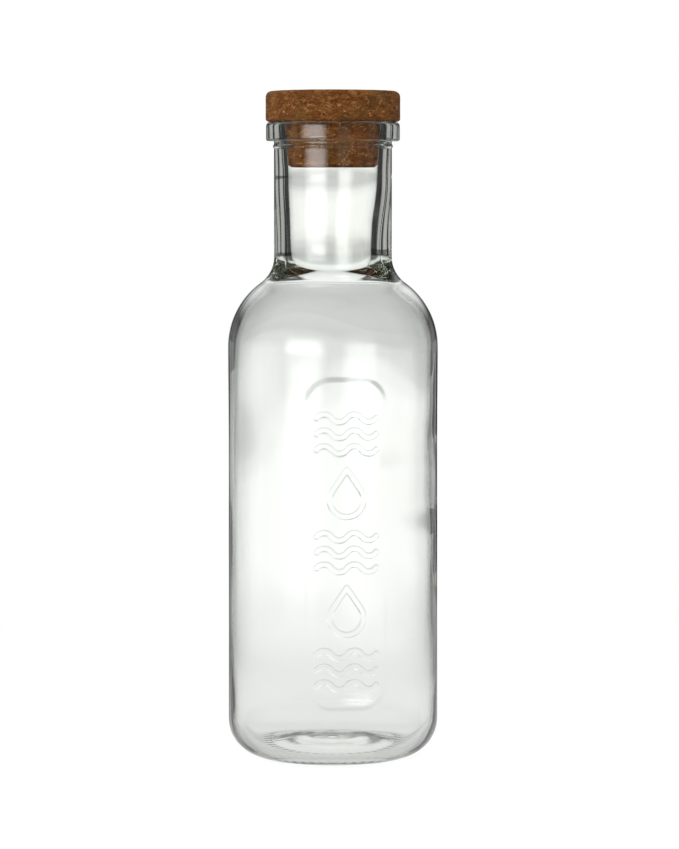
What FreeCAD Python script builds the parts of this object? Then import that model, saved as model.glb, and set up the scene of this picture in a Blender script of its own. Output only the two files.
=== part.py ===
"""Glass water bottle with a cork stopper, as a parametric FreeCAD document.

The bottle is one piece of blown glass: a round body with a wide heel, a round shoulder, a straight
neck and a flat-sided bead at the mouth. Its base is pushed up in the middle, so that it stands on a
narrow ring. The front has a shallow sunk panel with five raised motifs one above the other, ripples
and drops in turn. The stopper is a flat cork head glued to a tapered cork plug, and the two lift out
of the neck together.

Frame: millimetres, +Z up, the origin at the middle of the base ring, the panel facing -Y.
"""

import FreeCAD, Part
import math
import os

import Sketcher

SIZES = {
    # bottle, outside
    "body_radius": 44.3,
    "heel_radius": 16.0,
    "base_ring_width": 2.3,
    "nick_reach": 1.3,
    "nick_width": 1.7,
    "nick_depth": 0.4,
    "pushup_height": 3.4,
    "shoulder_level": 172.9,
    "shoulder_radius": 33.2,
    "neck_radius": 24.8,
    "neck_fillet": 13.5,
    "ridge_level": 256.9,
    "ridge_width": 2.2,
    "ridge_radius": 1.6,
    "bead_radius": 28.1,
    "bead_level": 259.1,
    "bead_foot_round": 0.8,
    "bead_top_round": 1.7,
    "rim_level": 267.1,
    # bottle, inside
    "wall_thickness": 3.0,
    "floor_thickness": 3.6,
    "floor_crown": 7.0,
    "inner_heel_radius": 13.0,
    "throat_radius": 16.8,
    "throat_round": 10.0,
    "throat_level": 212.2,
    "bore_foot_level": 246.0,
    "bore_foot_radius": 18.7,
    "mouth_radius": 21.1,
    "mouth_round": 1.0,
    # panel on the front
    "panel_level": 93.6,
    "panel_width": 33.6,
    "panel_length": 136.0,
    "panel_corner": 10.5,
    "panel_depth": 0.3,
    "motif_level": 90.5,
    "motif_pitch": 24.3,
    "motif_relief": 0.6,
    "stroke_width": 2.2,
    "ripple_chord": 6.2,
    "ripple_radius": 3.85,
    "ripple_spacing": 6.5,
    "drop_radius": 7.0,
    "drop_tip": 12.4,
    # stopper
    "head_radius": 28.2,
    "head_height": 12.8,
    "head_top_round": 2.8,
    "head_foot_round": 1.4,
    "seat_gap": 0.1,
    "plug_length": 19.3,
    "plug_top_radius": 20.1,
    "plug_foot_radius": 18.75,
    "plug_chamfer": 1.2,
}
MARGIN = 3.0  # how far a cutting tool reaches past what it cuts
NICKS = 48
RIPPLE_GROUPS = 3
RIPPLE_LINES = 3
HALF_WAVES = 4
DROPS = 2
START, END, CENTRE = 1, 2, 3  # Sketcher's numbers for the points of a line or an arc
ORIGIN, V_AXIS, H_AXIS = (-1, 1), -2, -1  # Sketcher's numbers for the sketch's own axes


def vec(x, y):
    return FreeCAD.Vector(x, y, 0)


def make_sheet(doc):
    """The spreadsheet of driving dimensions, one alias a row."""
    sheet = doc.addObject("Spreadsheet::Sheet", "Sizes")
    for row, (alias, value) in enumerate(SIZES.items(), start=1):
        sheet.set(f"A{row}", alias)
        sheet.set(f"B{row}", str(value))
        sheet.setAlias(f"B{row}", alias)
    doc.recompute()
    return sheet


def add_sketch(body, name, plane="XZ_Plane"):
    """An empty sketch on one of the body's own origin planes."""
    sketch = body.newObject("Sketcher::SketchObject", name)
    support = next(f for f in body.Origin.OriginFeatures if f.Role == plane)
    sketch.AttachmentSupport = (support, [""])
    sketch.MapMode = "FlatFace"
    return sketch


class Chain:
    """A closed chain of lines and arcs in a sketch, drawn from point to point.

    Neighbours meet end to end, and they are tangent where smooth is asked for. Lines along an axis
    are held to it. Sizes are then added with the names of cells in the sheet.
    """

    def __init__(self, sketch, x, y):
        self.sketch = sketch
        self.first = (x, y)
        self.at = (x, y)
        self.pieces = []  # (geometry number, point at its start, point at its end)

    def _join(self, index, begins, ends, smooth):
        if self.pieces:
            last, _, last_end = self.pieces[-1]
            kind = "Tangent" if smooth else "Coincident"
            self.sketch.addConstraint(Sketcher.Constraint(kind, last, last_end, index, begins))
        self.pieces.append((index, begins, ends))
        return index

    def line(self, x, y, smooth=False, held=True):
        index = self.sketch.addGeometry(Part.LineSegment(vec(*self.at), vec(x, y)), False)
        across, up = abs(x - self.at[0]) < 1e-7, abs(y - self.at[1]) < 1e-7
        self.at = (x, y)
        self._join(index, START, END, smooth)
        if held and across:
            self.sketch.addConstraint(Sketcher.Constraint("Vertical", index))
        if held and up:
            self.sketch.addConstraint(Sketcher.Constraint("Horizontal", index))
        return index

    def arc(self, x, y, centre, clockwise=False, smooth=True):
        """An arc about centre from the last point to (x, y)."""
        begin = math.atan2(self.at[1] - centre[1], self.at[0] - centre[0])
        finish = math.atan2(y - centre[1], x - centre[0])
        radius = math.hypot(x - centre[0], y - centre[1])
        circle = Part.Circle(vec(*centre), FreeCAD.Vector(0, 0, 1), radius)
        low, high = (finish, begin) if clockwise else (begin, finish)
        index = self.sketch.addGeometry(Part.ArcOfCircle(circle, low, high), False)
        self.at = (x, y)
        begins, ends = (END, START) if clockwise else (START, END)
        return self._join(index, begins, ends, smooth)

    def close(self, smooth=False):
        last, _, last_end = self.pieces[-1]
        first, first_start, _ = self.pieces[0]
        kind = "Tangent" if smooth else "Coincident"
        self.sketch.addConstraint(Sketcher.Constraint(kind, last, last_end, first, first_start))

    def on(self, index, point, axis):
        self.sketch.addConstraint(Sketcher.Constraint("PointOnObject", index, point, axis))

    def size(self, name, kind, index, point, expression):
        """A named dimension from the sketch's origin, or a radius, bound to an expression."""
        value = measure(self.sketch, kind, index, point)
        if kind == "Radius":
            made = Sketcher.Constraint(kind, index, value)
        else:
            made = Sketcher.Constraint(kind, *ORIGIN, index, point, value)
        number = self.sketch.addConstraint(made)
        self.sketch.renameConstraint(number, name)
        self.sketch.setExpression(f"Constraints.{name}", expression)


def measure(sketch, kind, index, point):
    """What a new dimension reads in the sketch as drawn."""
    if kind == "Radius":
        return sketch.Geometry[index].Radius
    place = sketch.getPoint(index, point)
    return place.x if kind == "DistanceX" else place.y


def revolve(body, sketch, name, kind="Revolution"):
    """The sketch turned once round its vertical axis: kind is Revolution or Groove."""
    made = body.newObject(f"PartDesign::{kind}", name)
    made.Profile = sketch
    made.ReferenceAxis = (sketch, ["V_Axis"])
    made.Angle = 360.0
    sketch.Visibility = False
    return made


def extrude_forward(body, sketch, name, kind="Pad"):
    """The sketch run from the middle plane to the front, past the body's side."""
    made = body.newObject(f"PartDesign::{kind}", name)
    made.Profile = sketch
    made.setExpression("Length", f"Sizes.body_radius + {MARGIN}")
    # a pad runs along the sketch's normal, which is -Y here, and a pocket runs against it
    made.Reversed = kind == "Pocket"
    return made


def tangent_point(point, centre, radius, side):
    """Where a line from point touches a circle. side is 1 or -1, the side of the circle."""
    across = (point[0] - centre[0], point[1] - centre[1])
    square = across[0] ** 2 + across[1] ** 2
    along = radius**2 / square
    aside = side * radius * math.sqrt(square - radius**2) / square
    return (
        centre[0] + along * across[0] - aside * across[1],
        centre[1] + along * across[1] + aside * across[0],
    )


def between(near, far, share):
    return tuple(a + (b - a) * share for a, b in zip(near, far))


def point_about(centre, radius, degrees):
    angle = math.radians(degrees)
    return (centre[0] + radius * math.cos(angle), centre[1] + radius * math.sin(angle))


def outer_form(body, at):
    """The bottle's outside, solid to its axis."""
    sketch = add_sketch(body, "outer_profile")
    heel = at["body_radius"] - at["heel_radius"]
    ring = heel - at["base_ring_width"]
    rise = at["pushup_height"]
    dome_radius = (ring**2 + rise**2) / (2 * rise)
    shoulder = (at["body_radius"] - at["shoulder_radius"], at["shoulder_level"])
    reach = at["shoulder_radius"] + at["neck_fillet"]
    aside = at["neck_radius"] + at["neck_fillet"] - shoulder[0]
    fillet = (shoulder[0] + aside, shoulder[1] + math.sqrt(reach**2 - aside**2))
    meet = between(shoulder, fillet, at["shoulder_radius"] / reach)
    half_ridge = at["ridge_width"] / 2
    ridge_inset = math.sqrt(at["ridge_radius"] ** 2 - half_ridge**2)
    foot, top = at["bead_foot_round"], at["bead_top_round"]
    bead, rim = at["bead_radius"], at["rim_level"]

    chain = Chain(sketch, 0, rise)
    dome = chain.arc(ring, 0, (0, rise - dome_radius), clockwise=True, smooth=False)
    base = chain.line(heel, 0)
    heel_arc = chain.arc(at["body_radius"], at["heel_radius"], (heel, at["heel_radius"]))
    side = chain.line(at["body_radius"], at["shoulder_level"], smooth=True)
    shoulder_arc = chain.arc(*meet, shoulder)
    fillet_arc = chain.arc(at["neck_radius"], fillet[1], fillet, clockwise=True)
    neck = chain.line(at["neck_radius"], at["ridge_level"] - half_ridge, smooth=True)
    ridge_centre = (at["neck_radius"] - ridge_inset, at["ridge_level"])
    ridge = chain.arc(
        at["neck_radius"], at["ridge_level"] + half_ridge, ridge_centre, smooth=False
    )
    collar = chain.line(at["neck_radius"], at["bead_level"])
    chain.line(bead - foot, at["bead_level"])
    foot_arc = chain.arc(bead, at["bead_level"] + foot, (bead - foot, at["bead_level"] + foot))
    bead_side = chain.line(bead, rim - top, smooth=True)
    top_arc = chain.arc(bead - top, rim, (bead - top, rim - top))
    lid = chain.line(0, rim, smooth=True)
    chain.line(0, rise)
    chain.close()

    chain.on(dome, END, V_AXIS)
    chain.on(dome, CENTRE, V_AXIS)
    chain.on(base, START, H_AXIS)
    chain.size("pushup_height", "DistanceY", dome, END, "Sizes.pushup_height")
    chain.size(
        "ring_inner",
        "DistanceX",
        base,
        START,
        "Sizes.body_radius - Sizes.heel_radius - Sizes.base_ring_width",
    )
    chain.size("heel_radius", "Radius", heel_arc, None, "Sizes.heel_radius")
    chain.size("body_radius", "DistanceX", side, END, "Sizes.body_radius")
    chain.size("shoulder_level", "DistanceY", side, END, "Sizes.shoulder_level")
    chain.size("shoulder_radius", "Radius", shoulder_arc, None, "Sizes.shoulder_radius")
    chain.size("neck_fillet", "Radius", fillet_arc, None, "Sizes.neck_fillet")
    chain.size("neck_radius", "DistanceX", neck, END, "Sizes.neck_radius")
    chain.size(
        "ridge_foot", "DistanceY", neck, END, "Sizes.ridge_level - Sizes.ridge_width / 2"
    )
    chain.size("ridge_radius", "Radius", ridge, None, "Sizes.ridge_radius")
    chain.size(
        "ridge_top", "DistanceY", ridge, END, "Sizes.ridge_level + Sizes.ridge_width / 2"
    )
    chain.size("collar_radius", "DistanceX", collar, END, "Sizes.neck_radius")
    chain.size("bead_level", "DistanceY", collar, END, "Sizes.bead_level")
    chain.size("foot_round", "Radius", foot_arc, None, "Sizes.bead_foot_round")
    chain.size("bead_radius", "DistanceX", bead_side, END, "Sizes.bead_radius")
    chain.size("top_round", "Radius", top_arc, None, "Sizes.bead_top_round")
    chain.size("rim_level", "DistanceY", lid, END, "Sizes.rim_level")
    return revolve(body, sketch, "outer_form")


def cavity(body, at):
    """The inside of the bottle, cut out: floor, wall, shoulder, throat, neck and mouth."""
    sketch = add_sketch(body, "cavity_profile")
    wall = at["body_radius"] - at["wall_thickness"]
    heel_centre = (wall - at["inner_heel_radius"], at["floor_thickness"] + at["inner_heel_radius"])
    # the crowned floor is tangent to the inner heel, which fixes its radius
    drop = heel_centre[1] - at["floor_crown"]
    floor_radius = (heel_centre[0] ** 2 + drop**2 - at["inner_heel_radius"] ** 2) / (
        2 * (at["inner_heel_radius"] - drop)
    )
    floor_centre = (0, at["floor_crown"] - floor_radius)
    share = floor_radius / (floor_radius + at["inner_heel_radius"])
    floor_end = between(floor_centre, heel_centre, share)

    shoulder = (at["body_radius"] - at["shoulder_radius"], at["shoulder_level"])
    inner_shoulder = wall - shoulder[0]
    throat = (at["throat_radius"] + at["throat_round"], at["throat_level"])
    # a straight slope touches the inner shoulder and the throat's round
    reach = inner_shoulder + at["throat_round"]
    rise = math.atan2(throat[1] - shoulder[1], throat[0] - shoulder[0])
    lean = math.degrees(rise - math.acos(reach / math.dist(shoulder, throat)))
    slope_foot = point_about(shoulder, inner_shoulder, lean)
    slope_top = point_about(throat, -at["throat_round"], lean)
    bore_foot = (at["bore_foot_radius"], at["bore_foot_level"])
    throat_end = tangent_point(bore_foot, throat, at["throat_round"], 1)
    mouth = (at["mouth_radius"], at["rim_level"] - at["mouth_round"])
    bore_end = tangent_point(bore_foot, mouth, at["mouth_round"], -1)
    above = at["rim_level"] + MARGIN

    chain = Chain(sketch, 0, at["floor_crown"])
    floor = chain.arc(*floor_end, floor_centre, clockwise=True, smooth=False)
    heel = chain.arc(wall, heel_centre[1], heel_centre)
    side = chain.line(wall, shoulder[1], smooth=True)
    shoulder_arc = chain.arc(*slope_foot, shoulder)
    chain.line(*slope_top, smooth=True)
    throat_arc = chain.arc(*throat_end, throat, clockwise=True)
    neck = chain.line(*bore_foot, smooth=True)
    chain.line(*bore_end)
    mouth_arc = chain.arc(at["mouth_radius"], at["rim_level"], mouth, clockwise=True)
    chain.line(at["mouth_radius"], above)
    lid = chain.line(0, above)
    chain.line(0, at["floor_crown"])
    chain.close()

    chain.on(floor, END, V_AXIS)
    chain.on(floor, CENTRE, V_AXIS)
    chain.size("floor_crown", "DistanceY", floor, END, "Sizes.floor_crown")
    chain.size("inner_heel_radius", "Radius", heel, None, "Sizes.inner_heel_radius")
    chain.size(
        "heel_level", "DistanceY", heel, CENTRE, "Sizes.floor_thickness + Sizes.inner_heel_radius"
    )
    chain.size("wall", "DistanceX", side, END, "Sizes.body_radius - Sizes.wall_thickness")
    chain.size("shoulder_level", "DistanceY", side, END, "Sizes.shoulder_level")
    chain.size(
        "inner_shoulder", "Radius", shoulder_arc, None, "Sizes.shoulder_radius - Sizes.wall_thickness"
    )
    chain.size("throat_round", "Radius", throat_arc, None, "Sizes.throat_round")
    chain.size(
        "throat", "DistanceX", throat_arc, CENTRE, "Sizes.throat_radius + Sizes.throat_round"
    )
    chain.size("throat_level", "DistanceY", throat_arc, CENTRE, "Sizes.throat_level")
    chain.size("bore_foot_radius", "DistanceX", neck, END, "Sizes.bore_foot_radius")
    chain.size("bore_foot_level", "DistanceY", neck, END, "Sizes.bore_foot_level")
    chain.size("mouth_round", "Radius", mouth_arc, None, "Sizes.mouth_round")
    chain.size("mouth_x", "DistanceX", mouth_arc, CENTRE, "Sizes.mouth_radius")
    chain.size("mouth_radius", "DistanceX", mouth_arc, START, "Sizes.mouth_radius")
    chain.size("rim_level", "DistanceY", mouth_arc, START, "Sizes.rim_level")
    chain.size("above", "DistanceY", lid, END, f"Sizes.rim_level + {MARGIN}")
    return revolve(body, sketch, "cavity", "Groove")


def rectangle(sketch, left, right, bottom, top, sizes):
    """A plain upright rectangle. sizes are the expressions of its left, right, bottom and top."""
    chain = Chain(sketch, left, bottom)
    base = chain.line(right, bottom)
    side = chain.line(right, top)
    lid = chain.line(left, top)
    chain.line(left, bottom)
    chain.close()
    chain.size("left", "DistanceX", lid, END, sizes[0])
    chain.size("right", "DistanceX", base, END, sizes[1])
    chain.size("bottom", "DistanceY", base, END, sizes[2])
    chain.size("top", "DistanceY", side, END, sizes[3])


def knurled_ring(body, at):
    """Short radial nicks in the base ring's outer part, which run out by themselves on the heel."""
    sketch = add_sketch(body, "nick_outline", "XY_Plane")
    half = at["nick_width"] / 2
    inner = at["body_radius"] - at["heel_radius"] - at["nick_reach"]
    outer = at["body_radius"] - at["heel_radius"] + 2 * MARGIN
    ring = "Sizes.body_radius - Sizes.heel_radius"
    limits = (
        f"{ring} - Sizes.nick_reach",
        f"{ring} + 2 * {MARGIN}",
        "-Sizes.nick_width / 2",
        "Sizes.nick_width / 2",
    )
    rectangle(sketch, inner, outer, -half, half, limits)
    nick = body.newObject("PartDesign::Pocket", "nick")
    nick.Profile = sketch
    nick.setExpression("Length", "Sizes.nick_depth")
    nick.Reversed = True
    body.Tip = nick
    nicks = body.newObject("PartDesign::PolarPattern", "nicks")
    nicks.Originals = [nick]
    nicks.Axis = (sketch, ["N_Axis"])
    nicks.Angle = 360.0
    nicks.Occurrences = NICKS
    body.Tip = nicks
    return nicks


def sunk_panel(body, at):
    """The panel: a round-cornered window cut through the front, filled again a little less deep."""
    window = add_sketch(body, "panel_window")
    half, corner = at["panel_width"] / 2, at["panel_corner"]
    low = at["panel_level"] - at["panel_length"] / 2
    high = at["panel_level"] + at["panel_length"] / 2
    chain = Chain(window, corner - half, low)
    base = chain.line(half - corner, low)
    corners = [chain.arc(half, low + corner, (half - corner, low + corner))]
    side = chain.line(half, high - corner, smooth=True)
    corners.append(chain.arc(half - corner, high, (half - corner, high - corner)))
    lid = chain.line(corner - half, high, smooth=True)
    corners.append(chain.arc(-half, high - corner, (corner - half, high - corner)))
    other = chain.line(-half, low + corner, smooth=True)
    corners.append(chain.arc(corner - half, low, (corner - half, low + corner)))
    chain.close(smooth=True)
    for number, index in enumerate(corners, start=1):
        chain.size(f"corner_{number}", "Radius", index, None, "Sizes.panel_corner")
    chain.size("right", "DistanceX", side, END, "Sizes.panel_width / 2")
    chain.size("left", "DistanceX", other, END, "-Sizes.panel_width / 2")
    chain.size("top", "DistanceY", lid, END, "Sizes.panel_level + Sizes.panel_length / 2")
    chain.size("bottom", "DistanceY", base, END, "Sizes.panel_level - Sizes.panel_length / 2")
    extrude_forward(body, window, "panel_cut", "Pocket")

    fill = add_sketch(body, "panel_fill_profile")
    core = at["body_radius"] - at["panel_depth"]
    rectangle(
        fill,
        0,
        core,
        low - MARGIN / 2,
        high + MARGIN / 2,
        (
            "0",
            "Sizes.body_radius - Sizes.panel_depth",
            f"Sizes.panel_level - Sizes.panel_length / 2 - {MARGIN} / 2",
            f"Sizes.panel_level + Sizes.panel_length / 2 + {MARGIN} / 2",
        ),
    )
    return revolve(body, fill, "panel_fill")


def draw_ripple(sketch, level, at):
    """One wavy stroke with round ends: equal arcs, humps and hollows in turn."""
    half_stroke = at["stroke_width"] / 2
    chord, radius = at["ripple_chord"], at["ripple_radius"]
    depth = math.sqrt(radius**2 - chord**2 / 4)
    lean = math.degrees(math.asin(chord / 2 / radius))
    humps = [1 if number % 2 == 0 else -1 for number in range(HALF_WAVES)]
    middles = [chord * (number + 0.5 - HALF_WAVES / 2) for number in range(HALF_WAVES)]
    centres = [(x, level - hump * depth) for x, hump in zip(middles, humps)]

    start = point_about(centres[0], radius + half_stroke, 90 + lean)
    chain = Chain(sketch, *start)
    upper, lower = [], []
    for centre, hump in zip(centres, humps):
        end = point_about(centre, radius + hump * half_stroke, hump * (90 - lean))
        upper.append(chain.arc(*end, centre, clockwise=hump > 0))
    right = (chord * HALF_WAVES / 2, level)
    last = point_about(centres[-1], radius - humps[-1] * half_stroke, humps[-1] * (90 - lean))
    right_cap = chain.arc(*last, right, clockwise=True)
    for centre, hump in reversed(list(zip(centres, humps))):
        end = point_about(centre, radius - hump * half_stroke, hump * (90 + lean))
        lower.append(chain.arc(*end, centre, clockwise=hump < 0))
    left_cap = chain.arc(*start, (-right[0], level), clockwise=True)
    chain.close(smooth=True)

    # the lowest line of the lowest group
    line = (
        "Sizes.motif_level - 2 * Sizes.motif_pitch"
        f" - {RIPPLE_LINES - 1} / 2 * Sizes.ripple_spacing"
    )
    for number, (over, under) in enumerate(zip(upper, reversed(lower))):
        step = number + 0.5 - HALF_WAVES / 2
        sign = "-" if humps[number] > 0 else "+"
        depth_text = "sqrt(Sizes.ripple_radius^2 - Sizes.ripple_chord^2 / 4)"
        chain.size(f"centre_x_{number}", "DistanceX", over, CENTRE, f"Sizes.ripple_chord * {step}")
        chain.size(f"centre_y_{number}", "DistanceY", over, CENTRE, f"{line} {sign} {depth_text}")
        sketch.addConstraint(Sketcher.Constraint("Coincident", over, CENTRE, under, CENTRE))
    chain.size("over", "Radius", upper[0], None, "Sizes.ripple_radius + Sizes.stroke_width / 2")
    chain.size("under", "Radius", lower[-1], None, "Sizes.ripple_radius - Sizes.stroke_width / 2")
    for name, cap in (("right_cap", right_cap), ("left_cap", left_cap)):
        chain.size(name, "DistanceY", cap, CENTRE, line)


def draw_drop(sketch, level, at):
    """The outline of a drop as a stroke: a circle and the two lines from its tip that touch it."""
    half_stroke = at["stroke_width"] / 2
    radius, reach = at["drop_radius"], at["drop_tip"]
    centre = (0, level - (reach - radius) / 2)
    tip = (0, centre[1] + reach)
    lean = math.degrees(math.acos(radius / reach))
    centre_text = (
        "Sizes.motif_level - Sizes.motif_pitch - (Sizes.drop_tip - Sizes.drop_radius) / 2"
    )

    outer = Chain(sketch, *point_about(centre, radius + half_stroke, 90 + lean))
    bowl = outer.arc(*point_about(centre, radius + half_stroke, 90 - lean), centre, smooth=False)
    outer.line(*point_about(tip, half_stroke, 90 - lean), smooth=True, held=False)
    cap = outer.arc(*point_about(tip, half_stroke, 90 + lean), tip)
    outer.line(*point_about(centre, radius + half_stroke, 90 + lean), smooth=True, held=False)
    outer.close(smooth=True)
    outer.on(bowl, CENTRE, V_AXIS)
    outer.on(cap, CENTRE, V_AXIS)
    outer.size("bowl_level", "DistanceY", bowl, CENTRE, centre_text)
    outer.size("tip_level", "DistanceY", cap, CENTRE, f"{centre_text} + Sizes.drop_tip")
    outer.size("bowl", "Radius", bowl, None, "Sizes.drop_radius + Sizes.stroke_width / 2")
    outer.size("cap", "Radius", cap, None, "Sizes.stroke_width / 2")

    small = radius - half_stroke
    inner = Chain(sketch, *point_about(centre, small, 90 + lean))
    hollow = inner.arc(*point_about(centre, small, 90 - lean), centre, smooth=False)
    side = inner.line(0, centre[1] + small * reach / radius, smooth=True, held=False)
    inner.line(*point_about(centre, small, 90 + lean), held=False)
    inner.close(smooth=True)
    sketch.addConstraint(Sketcher.Constraint("Coincident", hollow, CENTRE, bowl, CENTRE))
    inner.on(side, END, V_AXIS)
    inner.size("hollow", "Radius", hollow, None, "Sizes.drop_radius - Sizes.stroke_width / 2")
    inner.size(
        "hollow_tip",
        "DistanceY",
        side,
        END,
        f"{centre_text}"
        " + (Sizes.drop_radius - Sizes.stroke_width / 2) * Sizes.drop_tip / Sizes.drop_radius",
    )


def add_steps(body, name, sketch, count, step):
    """A pattern of count copies up the sketch, the step between them an expression."""
    pattern = body.newObject("PartDesign::LinearPattern", name)
    pattern.Direction = (sketch, ["V_Axis"])
    pattern.Occurrences = count
    pattern.setExpression("Length", f"{step} * {count - 1}")
    return pattern


def raised_motifs(body, at):
    """Ripples and drops in turn up the panel, trimmed to one height over the panel's floor."""
    wave = add_sketch(body, "ripple_stroke")
    lowest = at["motif_level"] - 2 * at["motif_pitch"]
    draw_ripple(wave, lowest - (RIPPLE_LINES - 1) / 2 * at["ripple_spacing"], at)
    ripple = extrude_forward(body, wave, "ripple")
    ripples = body.newObject("PartDesign::MultiTransform", "ripples")
    ripples.Originals = [ripple]
    ripples.Transformations = [
        add_steps(body, "lines", wave, RIPPLE_LINES, "Sizes.ripple_spacing"),
        add_steps(body, "groups", wave, RIPPLE_GROUPS, "2 * Sizes.motif_pitch"),
    ]
    body.Tip = ripples

    outline = add_sketch(body, "drop_stroke")
    draw_drop(outline, at["motif_level"] - at["motif_pitch"], at)
    drop = extrude_forward(body, outline, "drop")
    drops = add_steps(body, "drops", outline, DROPS, "2 * Sizes.motif_pitch")
    drops.Originals = [drop]
    body.Tip = drops

    trim = add_sketch(body, "motif_trim_profile")
    low = at["panel_level"] - at["panel_length"] / 2
    high = at["panel_level"] + at["panel_length"] / 2
    rectangle(
        trim,
        at["body_radius"] - at["panel_depth"] + at["motif_relief"],
        at["body_radius"] + 2 * MARGIN,
        low,
        high,
        (
            "Sizes.body_radius - Sizes.panel_depth + Sizes.motif_relief",
            f"Sizes.body_radius + 2 * {MARGIN}",
            "Sizes.panel_level - Sizes.panel_length / 2",
            "Sizes.panel_level + Sizes.panel_length / 2",
        ),
    )
    return revolve(body, trim, "motif_trim", "Groove")


def glass_bottle(doc, at):
    """The bottle: outside first, then the panel and its motifs, and the inside last."""
    body = doc.addObject("PartDesign::Body", "glass_bottle")
    outer_form(body, at)
    doc.recompute()
    knurled_ring(body, at)
    doc.recompute()
    sunk_panel(body, at)
    doc.recompute()
    raised_motifs(body, at)
    doc.recompute()
    cavity(body, at)
    doc.recompute()
    return body


def rims(feature, level):
    """The names of a feature's edges that lie wholly at one level."""
    return [
        f"Edge{number}"
        for number, edge in enumerate(feature.Shape.Edges, start=1)
        if edge.BoundBox.ZLength < 1e-6 and abs(edge.BoundBox.ZMin - level) < 1e-6
    ]


def dress(body, name, kind, base, level, size):
    """A fillet or chamfer round a feature's edge at one level, sized from the sheet."""
    made = body.newObject(f"PartDesign::{kind}", name)
    made.Base = (base, rims(base, level))
    made.setExpression("Radius" if kind == "Fillet" else "Size", f"Sizes.{size}")
    return made


def stopper_head(doc, at):
    """The cork disc that covers the rim, rounded more at its top than at its foot."""
    body = doc.addObject("PartDesign::Body", "stopper_head")
    body.setExpression(".Placement.Base.z", "Sizes.rim_level + Sizes.seat_gap")
    sketch = add_sketch(body, "head_circle", "XY_Plane")
    circle = Part.Circle(vec(0, 0), FreeCAD.Vector(0, 0, 1), at["head_radius"])
    sketch.addGeometry(circle, False)
    sketch.addConstraint(Sketcher.Constraint("Coincident", 0, CENTRE, *ORIGIN))
    sketch.addConstraint(Sketcher.Constraint("Radius", 0, at["head_radius"]))
    sketch.renameConstraint(1, "head_radius")
    sketch.setExpression("Constraints.head_radius", "Sizes.head_radius")
    disc = body.newObject("PartDesign::Pad", "disc")
    disc.Profile = sketch
    disc.setExpression("Length", "Sizes.head_height")
    doc.recompute()
    top = dress(body, "top_edge", "Fillet", disc, at["head_height"], "head_top_round")
    doc.recompute()
    dress(body, "foot_edge", "Fillet", top, 0.0, "head_foot_round")
    doc.recompute()
    return body


def stopper_plug(doc, at):
    """The tapered cork plug, glued under the head and just clear of the neck's bore."""
    body = doc.addObject("PartDesign::Body", "stopper_plug")
    body.setExpression(".Placement.Base.z", "Sizes.rim_level + Sizes.seat_gap - Sizes.plug_length")
    cone = body.newObject("PartDesign::AdditiveCone", "taper")
    cone.setExpression("Radius1", "Sizes.plug_foot_radius")
    cone.setExpression("Radius2", "Sizes.plug_top_radius")
    cone.setExpression("Height", "Sizes.plug_length")
    doc.recompute()
    dress(body, "foot_edge", "Chamfer", cone, 0.0, "plug_chamfer")
    doc.recompute()
    return body


def check(doc, bodies):
    """Stops on any object that failed, or any sub-part without one valid solid."""
    for made in doc.Objects:
        if {"Invalid", "Error"} & set(made.State):
            raise RuntimeError(f"{made.Name} failed: {made.State}")
        if made.TypeId == "Sketcher::SketchObject" and made.solve() != 0:
            raise RuntimeError(f"{made.Name} doesn't solve")
    for body in bodies:
        shape = body.Shape
        if shape.isNull() or not shape.isValid() or len(shape.Solids) != 1:
            raise RuntimeError(f"{body.Label} isn't one valid solid")


def main():
    doc = FreeCAD.newDocument("water_bottle")
    sheet = make_sheet(doc)
    at = {alias: sheet.get(alias) for alias in SIZES}
    bodies = [glass_bottle(doc, at), stopper_head(doc, at), stopper_plug(doc, at)]
    doc.recompute()
    check(doc, bodies)
    os.makedirs("parts", exist_ok=True)
    for body in bodies:
        body.Shape.exportStep(f"parts/{body.Label}.step")
        print(f"{body.Label}: {body.Shape.Volume / 1000:.1f} ml")


main()
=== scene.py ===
"""Looks of the glass water bottle: glass with its waves, seams and relief, and granulated cork."""

import math

import bpy
import numpy as np
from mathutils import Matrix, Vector


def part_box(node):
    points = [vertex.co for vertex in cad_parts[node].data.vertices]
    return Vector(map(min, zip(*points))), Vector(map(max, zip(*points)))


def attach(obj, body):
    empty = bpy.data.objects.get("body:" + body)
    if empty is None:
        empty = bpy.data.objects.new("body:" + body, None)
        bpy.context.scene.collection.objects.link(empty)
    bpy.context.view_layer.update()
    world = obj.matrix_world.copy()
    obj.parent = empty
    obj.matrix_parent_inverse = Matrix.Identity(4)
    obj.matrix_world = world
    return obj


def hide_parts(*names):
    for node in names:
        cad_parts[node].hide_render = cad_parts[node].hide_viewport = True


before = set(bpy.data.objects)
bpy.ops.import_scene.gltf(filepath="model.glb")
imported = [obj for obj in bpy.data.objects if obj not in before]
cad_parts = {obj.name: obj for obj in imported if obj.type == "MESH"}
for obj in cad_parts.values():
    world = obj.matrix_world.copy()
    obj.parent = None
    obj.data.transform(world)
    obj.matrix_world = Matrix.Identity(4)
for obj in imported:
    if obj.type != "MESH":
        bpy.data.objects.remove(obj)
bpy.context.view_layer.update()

bottle_low, bottle_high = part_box("glass_bottle")
head_low, head_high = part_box("stopper_head")
plug_low, plug_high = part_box("stopper_plug")

MM = 0.001
rng = np.random.default_rng(11)

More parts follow.
